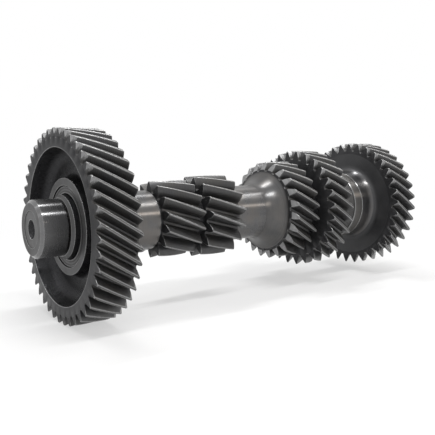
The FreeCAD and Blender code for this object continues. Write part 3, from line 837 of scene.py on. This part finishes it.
def mottle_group():
    """Soft patches and fine specks of an oxide or oil film."""
    group, given, result = node_group("Mottle", [("Patches per metre", 60.0), ("Specks per metre", 1800.0)],
                                      ["Patches", "Specks"])
    place = own_place(group)
    patches = noise(group, place, given.outputs["Patches per metre"], detail=3.0, roughness=0.55)
    group.links.new(ramp(group, patches, 0.35, 0.68), result.inputs["Patches"])
    specks = noise(group, place, given.outputs["Specks per metre"], detail=2.0, roughness=0.6)
    group.links.new(ramp(group, specks, 0.3, 0.7), result.inputs["Specks"])
    return group


def placed_group(tree, group, **values):
    """Places a shared group in a material with its own values."""
    node = tree.nodes.new("ShaderNodeGroup")
    node.node_tree = group
    for name, value in values.items():
        node.inputs[name.replace("_", " ")].default_value = value
    return node


def rgba(value):
    return (*value, 1.0)


def steel(groups, finishes, name, base, tint, roughness, spread, tint_share, bump, marks="lathe",
          metallic=1.0, rings=2500.0, patches=60.0, height_shade=0.0, brushed=0.0, line_depth=0.3, sheen=0.5):
    """Steel with a film over it. Base and tint name colours of the finishes. Marks is lathe, hob or cast.
    Roughness is a pair, from the brightest to the dullest patches, and bump is a strength with a depth in
    millimetres. Brushed stretches the gloss along the shaft, across the rings of the grinding."""
    material = bpy.data.materials.new(name)
    tree = empty_tree(material)
    mottle = placed_group(tree, groups["mottle"], Patches_per_metre=patches, Specks_per_metre=1800.0)
    wear_and_highlight = placed_group(tree, groups["wear_and_highlight"], Spread=spread, Break_up=0.6)
    if marks == "lathe":
        lines = placed_group(tree, groups["turning"], Rings_per_metre=rings, Waviness=5.0).outputs["Lines"]
        relief = lines
    elif marks == "hob":
        hob = placed_group(tree, groups["hob"], Feed=1.2 * MM, Uneven=0.6)
        lines = maths(tree, "ADD", maths(tree, "MULTIPLY", hob.outputs["Ridges"], 0.5),
                      maths(tree, "MULTIPLY", hob.outputs["Scratches"], 0.5))
        ridges = maths(tree, "MULTIPLY", hob.outputs["Ridges"], 0.8)
        relief = maths(tree, "ADD", ridges, hob.outputs["Scratches"])
    else:
        lines = mottle.outputs["Specks"]
        relief = maths(tree, "ADD", mottle.outputs["Specks"], mottle.outputs["Patches"])
    film = mixed(tree, maths(tree, "MULTIPLY", mottle.outputs["Patches"], tint_share),
                 rgba(getattr(finishes, base)), rgba(getattr(finishes, tint)))
    dark = maths(tree, "SUBTRACT", 1.0 + line_depth / 2, maths(tree, "MULTIPLY", lines, line_depth))
    shaded = scaled(tree, film, dark)
    # Painted shade and light: the teeth are darkened towards their roots and lightened towards their tips, by
    # each point's height.
    if height_shade:
        height_light_and_shade = ramp(tree, mesh_value(tree, "height"), 0.0, 1.0, 1.0 - height_shade, 1.0 + height_shade)
        shaded = scaled(tree, shaded, height_light_and_shade)
    # Inner corners darkened towards a near-black colour.
    corner_darkness = maths(tree, "MULTIPLY", wear_and_highlight.outputs["Corner dark"], CORNER_DARK_COVER)
    darkened = mixed(tree, corner_darkness, shaded, rgba(finishes.corner_dark))
    # Worn edges in bare steel, which also paints their highlights and glints.
    surface = mixed(tree, wear_and_highlight.outputs["Worn"], darkened, rgba(finishes.worn_and_highlight))
    film_marks = maths(tree, "ADD", maths(tree, "MULTIPLY", lines, 0.5),
                       maths(tree, "MULTIPLY", mottle.outputs["Patches"], 0.5))
    rough = ramp(tree, film_marks, 0.0, 1.0, roughness[0], roughness[1])
    metal = ramp(tree, wear_and_highlight.outputs["Worn"], 0.0, 1.0, metallic, 1.0)
    bumped = add_node(tree, "ShaderNodeBump", Strength=bump[0], Distance=bump[1] * MM,
                      Height=relief).outputs[0]
    shader = add_node(tree, "ShaderNodeBsdfPrincipled", Base_Color=surface, Roughness=rough, Normal=bumped)
    shader.inputs["Specular IOR Level"].default_value = sheen
    if metallic < 1.0:
        tree.links.new(metal, shader.inputs["Metallic"])
    else:
        shader.inputs["Metallic"].default_value = 1.0
    if brushed:
        tangent = add_node(tree, "ShaderNodeTangent", {"direction_type": "RADIAL", "axis": "X"}).outputs[0]
        tree.links.new(tangent, shader.inputs["Tangent"])
        shader.inputs["Anisotropic"].default_value = brushed
        shader.inputs["Anisotropic Rotation"].default_value = QUARTER_TURN
    add_node(tree, "ShaderNodeOutputMaterial", Surface=shader.outputs[0])
    return material


STEELS = {
    "ground": dict(name="Ground steel", tint="warm", roughness=(0.26, 0.34), spread=0.2, tint_share=0.5,
                   bump=(0.06, 0.02), brushed=0.85, line_depth=0.22),
    "polished": dict(name="Polished journal steel", tint="ground", roughness=(0.25, 0.30), spread=0.2,
                     tint_share=0.3, bump=(0.02, 0.02), brushed=0.96, line_depth=0.12),
    "flare": dict(name="Satin flare steel", tint="warm", roughness=(0.28, 0.35), spread=0.2, tint_share=0.3,
                  bump=(0.05, 0.02), brushed=0.4, line_depth=0.2, metallic=0.9),
    "ring": dict(name="Brushed ring steel", tint="warm", roughness=(0.30, 0.40), spread=0.3, tint_share=0.4,
                 bump=(0.08, 0.03), brushed=0.9),
    "hub": dict(name="Polished hub steel", tint="warm", roughness=(0.28, 0.38), spread=0.25, tint_share=0.3,
                bump=(0.06, 0.02), brushed=0.9),
    "machined": dict(name="Machined steel", tint="olive", roughness=(0.40, 0.54), spread=0.3, tint_share=0.2,
                     bump=(0.3, 0.03), rings=1600.0, metallic=0.55, sheen=0.25),
    "rim": dict(name="Oxidised rim steel", tint="machined", roughness=(0.40, 0.54), spread=0.3,
                tint_share=0.25, bump=(0.3, 0.03), rings=1600.0, metallic=0.6, sheen=0.1),
    "web": dict(name="Satin web steel", tint="machined", roughness=(0.34, 0.46), spread=0.3, tint_share=0.25,
                bump=(0.2, 0.03), rings=900.0, metallic=0.5, patches=40.0),
    "forged": dict(name="Forged skin", tint="rim", roughness=(0.25, 0.38), spread=0.3, marks="cast",
                   tint_share=0.4, bump=(0.6, 0.15), metallic=0.75, patches=110.0, line_depth=0.6, sheen=0.3),
    # The teeth get painted shade at their roots and painted light at their tips.
    "teeth": dict(name="Hobbed tooth steel", tint="olive", roughness=(0.32, 0.48), spread=0.38, marks="hob",
                  tint_share=0.3, bump=(0.45, 0.06), height_shade=0.15, metallic=0.5, line_depth=0.45),
    "bevel": dict(name="Bevelled tooth ends", tint="machined", roughness=(0.44, 0.56), spread=0.12,
                  tint_share=0.3, bump=(0.3, 0.04), metallic=0.7, sheen=0.2),
}


def steels(finishes):
    """Every steel finish of the cluster gear, made once. Each has its colour under its own key."""
    if STEELS["ground"]["name"] in bpy.data.materials:
        return {key: bpy.data.materials[look["name"]] for key, look in STEELS.items()}
    groups = {"wear_and_highlight": edge_wear_and_highlight_group(), "turning": turning_group(), "hob": hob_group(),
              "mottle": mottle_group()}
    return {key: steel(groups, finishes, base=key, **look) for key, look in STEELS.items()}


def finish_piece(skin, node, finishes):
    """Makes a skin into a piece that rides on the shaft's body and hides its CAD node."""
    piece = skin.make(node + "_steel", steels(finishes))
    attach(piece, "root")
    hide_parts(node)
    return {"FINISHED"}


def shaft_front_corners(cluster, at):
    """Corners of the shaft from its front end to the front pinion."""
    s = cluster.shaft
    face = at.shaft_front + s.end_recess_depth
    cone_end = face + s.centre_depth
    return [
        (cone_end + DRILL_DEPTH, DRILL_TIP_R, "forged"), (cone_end + DRILL_DEPTH, s.centre_drill_r, "forged"),
        (cone_end, s.centre_drill_r, "forged"), (face, s.centre_mouth_r, "machined"),
        (face, s.end_recess_r, "machined"), (at.shaft_front, s.end_recess_r, "machined"),
        (at.shaft_front, s.journal_r - s.journal_chamfer, "polished"),
        (at.shaft_front + s.journal_chamfer, s.journal_r, "polished"),
        (at.shoulder - s.undercut_width, s.journal_r, "forged"),
        (at.shoulder - s.undercut_width, s.journal_r - s.undercut_depth, "forged"),
        (at.shoulder, s.journal_r - s.undercut_depth, "forged"),
        (at.shoulder, s.seat_r - s.shoulder_chamfer, "machined"),
        (at.shoulder + s.shoulder_chamfer, s.seat_r, "forged"),
        (at.drive_rear, s.seat_r, "ground"), (at.drive_rear, s.front_r, "ground"),
        (at.neck_front - EDGE_CHAMFER, s.front_r, "ring"),
        (at.neck_front, s.front_r - EDGE_CHAMFER, "machined"), (at.neck_front, s.neck_r, "forged"),
        (at.front_pinion + OVERLAP, s.neck_r, "forged"),
    ]


def flare_corners(cluster, at):
    """Points of the concave flare, which leaves the middle shaft tangentially."""
    s = cluster.shaft
    rise = s.flare_r - s.middle_r
    arc_r = (s.flare_length ** 2 + rise ** 2) / (2 * rise)
    sweep = math.asin(s.flare_length / arc_r)
    angles = [sweep * i / FLARE_POINTS for i in range(FLARE_POINTS)]
    return [(at.flare_front + arc_r * math.sin(a), s.middle_r + arc_r * (1 - math.cos(a)), "flare", 0.0)
            for a in angles]


def shaft_middle_corners(cluster, at):
    """Corners of the shaft from the rear pinion to the second gear."""
    s = cluster.shaft
    return [
        (at.pinion_rear - OVERLAP, s.middle_r, "ground", 0.0), *flare_corners(cluster, at),
        (at.second_front, s.flare_r, "flare", 0.0), (at.second_front, s.flare_r + FLARE_LIP, "rim", 0.0),
    ]


def shaft_rear_corners(cluster, at):
    """Corners of the shaft from the third gear to its rear end."""
    s = cluster.shaft
    cone_end = at.shaft_rear - s.centre_depth
    return [
        (at.third_rear - OVERLAP, s.rear_r, "machined", 0.0),
        (at.spacer_front - FINE_CHAMFER, s.rear_r, "machined"),
        (at.spacer_front, s.rear_r - FINE_CHAMFER, "machined"), (at.spacer_front, s.seat_r, "machined", 0.0),
        (at.rear_rear - 2 * OVERLAP, s.seat_r, "ground", 0.0),
        (at.seat_end - EDGE_CHAMFER, s.seat_r, "ground"), (at.seat_end, s.seat_r - EDGE_CHAMFER, "ground"),
        (at.seat_end, s.rear_journal_r, "ground"),
        (at.shaft_rear - JOURNAL_END_CHAMFER, s.rear_journal_r, "ground"),
        (at.shaft_rear, s.rear_journal_r - JOURNAL_END_CHAMFER, "machined"),
        (at.shaft_rear, s.centre_mouth_r, "ground"), (cone_end, s.centre_drill_r, "forged"),
        (cone_end - DRILL_DEPTH, s.centre_drill_r, "forged"), (cone_end - DRILL_DEPTH, DRILL_TIP_R, "forged"),
    ]


class OBJECT_OT_countershaft(Operator):
    """Build the countershaft with the two pinions, the second gear and the third gear cut from it"""
    bl_idname = "object.cluster_countershaft"
    bl_label = "Countershaft"
    bl_options = {"REGISTER", "UNDO"}

    def execute(self, context):
        cluster = context.scene.cluster_gear
        at = stations(cluster)
        edges = cluster.edges
        s = cluster.shaft
        skin = Skin()
        necks = ((at.groove_front, at.rear_pinion, s.neck_r), (at.second_rear, at.third_front, s.groove_r))
        for corners in (shaft_front_corners(cluster, at), shaft_middle_corners(cluster, at),
                        shaft_rear_corners(cluster, at)):
            skin.turned(corners, edges, SHAFT_COLUMNS)
        for front, rear, radius in necks:
            skin.turned([(front - OVERLAP, radius, "forged", 0.0), (rear + OVERLAP, radius, "forged", 0.0)],
                        edges, SHAFT_COLUMNS)
        second, third = cluster.second, cluster.third
        rows = (
            (cluster.front_pinion, at.front_pinion, at.groove_front, PINION_STEPS,
             tooth_end(1, edges, s.neck_r - LAP), tooth_end(-1, edges, s.neck_r - LAP)),
            (cluster.rear_pinion, at.rear_pinion, at.pinion_rear, PINION_STEPS,
             tooth_end(1, edges, s.neck_r - LAP), tooth_end(-1, edges, s.middle_r - LAP)),
            (second, at.second_front, at.second_rear, GEAR_STEPS,
             tooth_end(1, edges, s.flare_r - LAP, cone=second.cone, cone_below_root=second.cone_below_root),
             tooth_end(-1, edges, s.groove_r - LAP, second.rear_bevel)),
            (third, at.third_front, at.third_rear, GEAR_STEPS,
             tooth_end(1, edges, s.groove_r - LAP, third.front_bevel),
             tooth_end(-1, edges, s.rear_r - LAP, third.rear_bevel)),
        )
        for gear, front, rear, steps, front_end, rear_end in rows:
            toothed_band(skin, ToothForm(gear, front), edges, front, rear, steps, front_end, rear_end)
        return finish_piece(skin, "countershaft", cluster.finishes)


class OBJECT_OT_drive_gear(Operator):
    """Build the dished drive gear on the front seat"""
    bl_idname = "object.cluster_drive_gear"
    bl_label = "Drive gear"
    bl_options = {"REGISTER", "UNDO"}

    def execute(self, context):
        cluster = context.scene.cluster_gear
        at = stations(cluster)
        g = cluster.drive
        seat_r = cluster.shaft.seat_r
        front = at.drive_front
        web_face = front + g.dish_depth
        hub_face = front + g.hub_recess
        rim_join = g.rim_inner_r + RIM_LAND
        step_face = hub_face + g.hub_step
        channel = step_face + CHANNEL_DEPTH
        groove_r = g.hub_step_r - g.ring_groove
        skin = Skin()
        skin.turned([
            (step_face + g.bore_chamfer, seat_r - TUCK, "forged", 0.0),
            (step_face, seat_r + g.bore_chamfer, "machined"),
            (channel, seat_r + g.bore_chamfer + CHANNEL_SLOPE, "machined"),
            (channel, groove_r - CHANNEL_SLOPE, "machined"), (step_face, groove_r, "forged"),
            (step_face + g.ring_groove, groove_r, "forged"),
            (step_face + g.ring_groove, g.hub_step_r, "forged"), (hub_face, g.hub_step_r, "machined"),
            (hub_face, g.hub_r, "forged"), (web_face, g.hub_r + g.hub_draft, "forged", g.hub_fillet),
            (web_face, g.rim_inner_r - g.dish_draft, "forged", g.dish_fillet),
            (front, g.rim_inner_r, "rim"), (front + HAIR, rim_join + FACE_LAP, "rim", 0.0),
        ], cluster.edges, DRIVE_COLUMNS)
        back = web_face + g.web
        skin.turned([
            (at.drive_rear - HAIR, rim_join + FACE_LAP, "rim", 0.0), (at.drive_rear, g.rim_inner_r, "forged"),
            (back, g.rim_inner_r - g.hub_draft, "forged", BACK_FILLET),
            (back, g.hub_r + g.hub_draft, "forged", BACK_FILLET), (at.drive_rear, g.hub_r, "machined"),
            (at.drive_rear, seat_r - TUCK, "machined", 0.0),
        ], cluster.edges, DRIVE_COLUMNS)
        toothed_band(skin, ToothForm(g, front), cluster.edges, front, at.drive_rear, GEAR_STEPS,
                     tooth_end(1, cluster.edges, rim_join, g.front_bevel),
                     tooth_end(-1, cluster.edges, rim_join, g.rear_bevel))
        return finish_piece(skin, "drive_gear", cluster.finishes)


class OBJECT_OT_spacer_ring(Operator):
    """Build the ground spacer ring in front of the rear gear"""
    bl_idname = "object.cluster_spacer_ring"
    bl_label = "Spacer ring"
    bl_options = {"REGISTER", "UNDO"}

    def execute(self, context):
        cluster = context.scene.cluster_gear
        at = stations(cluster)
        ring = cluster.spacer
        bore_r = cluster.shaft.seat_r
        skin = Skin()
        skin.turned([
            (at.spacer_front, bore_r, "machined"), (at.spacer_front, ring.radius - ring.chamfer, "ring"),
            (at.spacer_front + ring.chamfer, ring.radius, "ring"),
            (at.spacer_rear - ring.chamfer, ring.radius, "ring"),
            (at.spacer_rear, ring.radius - ring.chamfer, "machined"), (at.spacer_rear, bore_r, "machined"),
        ], cluster.edges, RING_COLUMNS)
        return finish_piece(skin, "spacer_ring", cluster.finishes)


class OBJECT_OT_rear_gear(Operator):
    """Build the rear gear with its long polished hub"""
    bl_idname = "object.cluster_rear_gear"
    bl_label = "Rear gear"
    bl_options = {"REGISTER", "UNDO"}

    def execute(self, context):
        cluster = context.scene.cluster_gear
        at = stations(cluster)
        g = cluster.rear
        edges = cluster.edges
        seat_r = cluster.shaft.seat_r
        form = ToothForm(g, at.rear_front)
        web_join = form.root_r - WEB_DROP
        rear = at.rear_rear
        back = rear - g.back_recess
        skin = Skin()
        skin.turned([
            (at.spacer_rear, seat_r, "machined"), (at.spacer_rear, g.hub_r - FINE_CHAMFER, "hub"),
            (at.spacer_rear + FINE_CHAMFER, g.hub_r, "hub"), (at.rear_front, g.hub_r, "web", g.hub_fillet),
            (at.rear_front + HAIR, web_join + FACE_LAP, "web", 0.0),
        ], edges, RING_COLUMNS)
        skin.turned([
            (rear - HAIR, web_join + FACE_LAP, "machined", 0.0), (rear, g.back_rim_r, "forged"),
            (back, g.back_rim_r - RECESS_FILLET, "forged", RECESS_FILLET),
            (back, g.back_hub_r + RECESS_FILLET, "forged", RECESS_FILLET), (rear, g.back_hub_r, "machined"),
            (rear, seat_r + EDGE_CHAMFER, "machined"), (rear - EDGE_CHAMFER, seat_r - TUCK, "machined", 0.0),
        ], edges, RING_COLUMNS)
        toothed_band(skin, form, edges, at.rear_front, rear, GEAR_STEPS,
                     tooth_end(1, edges, web_join, g.front_bevel),
                     tooth_end(-1, edges, web_join, g.rear_bevel))
        return finish_piece(skin, "rear_gear", cluster.finishes)


def softbox(name, place, target, width, height, power, tone=(1.0, 1.0, 1.0)):
    """Soft rectangular light turned towards a target, with its width along the shaft."""
    data = bpy.data.lights.new(name, "AREA")
    data.shape = "RECTANGLE"
    data.size = width
    data.size_y = height
    data.energy = power
    data.color = tone
    ahead = (Vector(target) - Vector(place)).normalized()
    along = (Vector((1.0, 0.0, 0.0)) - ahead * ahead.x).normalized()
    placed_object(name, data).matrix_world = facing(along, (-ahead).cross(along), -ahead, place)


def seen_directly(tree):
    """Factor that is 1 for rays from the camera and for rays that gloss or glass sends on."""
    path = add_node(tree, "ShaderNodeLightPath").outputs
    both = maths(tree, "ADD", path["Is Camera Ray"], path["Is Glossy Ray"])
    return maths(tree, "ADD", both, path["Is Transmission Ray"], clamp=True)


def white_world():
    """World that looks white and lights the object softly."""
    world = bpy.data.worlds.new("Studio")
    bpy.context.scene.world = world
    tree = empty_tree(world)
    strength = ramp(tree, seen_directly(tree), 0.0, 1.0, WORLD_LIGHT, 1.0)
    background = add_node(tree, "ShaderNodeBackground", Color=(1.0, 1.0, 1.0, 1.0), Strength=strength)
    add_node(tree, "ShaderNodeOutputWorld", Surface=background.outputs[0])


def floor_material(tone):
    """White floor that keeps the object's soft shadow and runs into the white backdrop around it."""
    material = bpy.data.materials.new("Studio floor")
    tree = empty_tree(material)
    paint = add_node(tree, "ShaderNodeBsdfDiffuse", Color=rgba(tone))
    glow = add_node(tree, "ShaderNodeEmission", Color=(1.0, 1.0, 1.0, 1.0))
    under_shaft = (AIM_MIDDLE[0], 0.0, CAD_BOX[0].z)
    away = add_node(tree, "ShaderNodeVectorMath", {"operation": "DISTANCE"}, in0=own_place(tree),
                    in1=under_shaft)
    lit = ramp(tree, away.outputs["Value"], FADE_START, FADE_END, NEAR_GLOW, 1.0)
    amount = maths(tree, "MULTIPLY", seen_directly(tree), lit)
    both = add_node(tree, "ShaderNodeMixShader", in0=amount, in1=paint.outputs[0], in2=glow.outputs[0])
    add_node(tree, "ShaderNodeOutputMaterial", Surface=both.outputs[0])
    return material


def photo_camera(lens):
    """Camera at the photograph's angle."""
    data = bpy.data.cameras.new("Camera")
    data.lens = lens / MM
    data.sensor_width = SENSOR_WIDTH
    data.clip_start, data.clip_end = CLIP_RANGE
    camera = placed_object("Camera", data)
    ahead = Vector(CAMERA_AHEAD).normalized()
    right = Vector(CAMERA_RIGHT).normalized()
    camera.matrix_world = facing(right, right.cross(ahead), -ahead, CAMERA_PLACE)
    bpy.context.scene.camera = camera


class OBJECT_OT_cluster_stage(Operator):
    """Set up the floor, the soft studio light and the camera"""
    bl_idname = "object.cluster_stage"
    bl_label = "Stage"
    bl_options = {"REGISTER", "UNDO"}

    def execute(self, context):
        stage = context.scene.cluster_gear.stage
        context.scene.view_settings.view_transform = "Standard"
        lowest = CAD_BOX[0].z
        mesh = bpy.data.meshes.new("floor")
        corners = [(x * FLOOR_SIDE, y * FLOOR_SIDE, lowest) for x, y in ((-1, -1), (1, -1), (1, 1), (-1, 1))]
        mesh.from_pydata(corners, [], [(0, 1, 2, 3)])
        mesh.materials.append(floor_material(stage.floor))
        floor = placed_object("floor", mesh)
        white_world()
        softbox("Key strip", (0.05, -0.50, 1.0), AIM_FRONT, 0.8, 0.09, stage.key_power)
        softbox("Back strip", (0.05, 0.28, 1.0), AIM_FRONT, 0.8, 0.09, stage.back_power)
        softbox("Rear light", (1.30, -0.06, 1.0), AIM_REAR, 0.6, 0.20, stage.rear_power)
        softbox("Band light", (0.95, -1.45, 0.86), AIM_MIDDLE, 0.9, 0.22, stage.band_power, WARM_LIGHT)
        photo_camera(stage.lens)
        return {"FINISHED"}


class VIEW3D_PT_cluster_gear(Panel):
    """Sizes, finishes and build buttons of the cluster gear"""
    bl_label = "Cluster Gear"
    bl_idname = "VIEW3D_PT_cluster_gear"
    bl_space_type = "VIEW_3D"
    bl_region_type = "UI"
    bl_category = "Cluster Gear"

    def draw(self, context):
        cluster = context.scene.cluster_gear
        for operator in BUILD_ORDER:
            self.layout.operator(operator.bl_idname)
        for name in cluster.bl_rna.properties.keys():
            if name in ("rna_type", "name"):
                continue
            box = self.layout.box()
            group = getattr(cluster, name)
            box.label(text=cluster.bl_rna.properties[name].name)
            for entry in group.bl_rna.properties.keys():
                if entry not in ("rna_type", "name"):
                    box.prop(group, entry)


BUILD_ORDER = (OBJECT_OT_cluster_stage, OBJECT_OT_countershaft, OBJECT_OT_drive_gear, OBJECT_OT_spacer_ring,
               OBJECT_OT_rear_gear)
CLASSES = (ShaftSizes, DriveGearSizes, FrontPinionSizes, RearPinionSizes, SecondGearSizes, ThirdGearSizes,
           SpacerSizes, RearGearSizes, EdgeSizes, Finishes, StageSizes, ClusterGear,
           VIEW3D_PT_cluster_gear) + BUILD_ORDER


def register():
    for item in CLASSES:
        bpy.utils.register_class(item)
    bpy.types.Scene.cluster_gear = held(ClusterGear, "Cluster gear", "All sizes and colours")


def unregister():
    del bpy.types.Scene.cluster_gear
    for item in reversed(CLASSES):
        bpy.utils.unregister_class(item)


def main():
    register()
    for operator in BUILD_ORDER:
        group, name = operator.bl_idname.split(".")
        getattr(getattr(bpy.ops, group), name)()


if __name__ == "__main__":
    main()
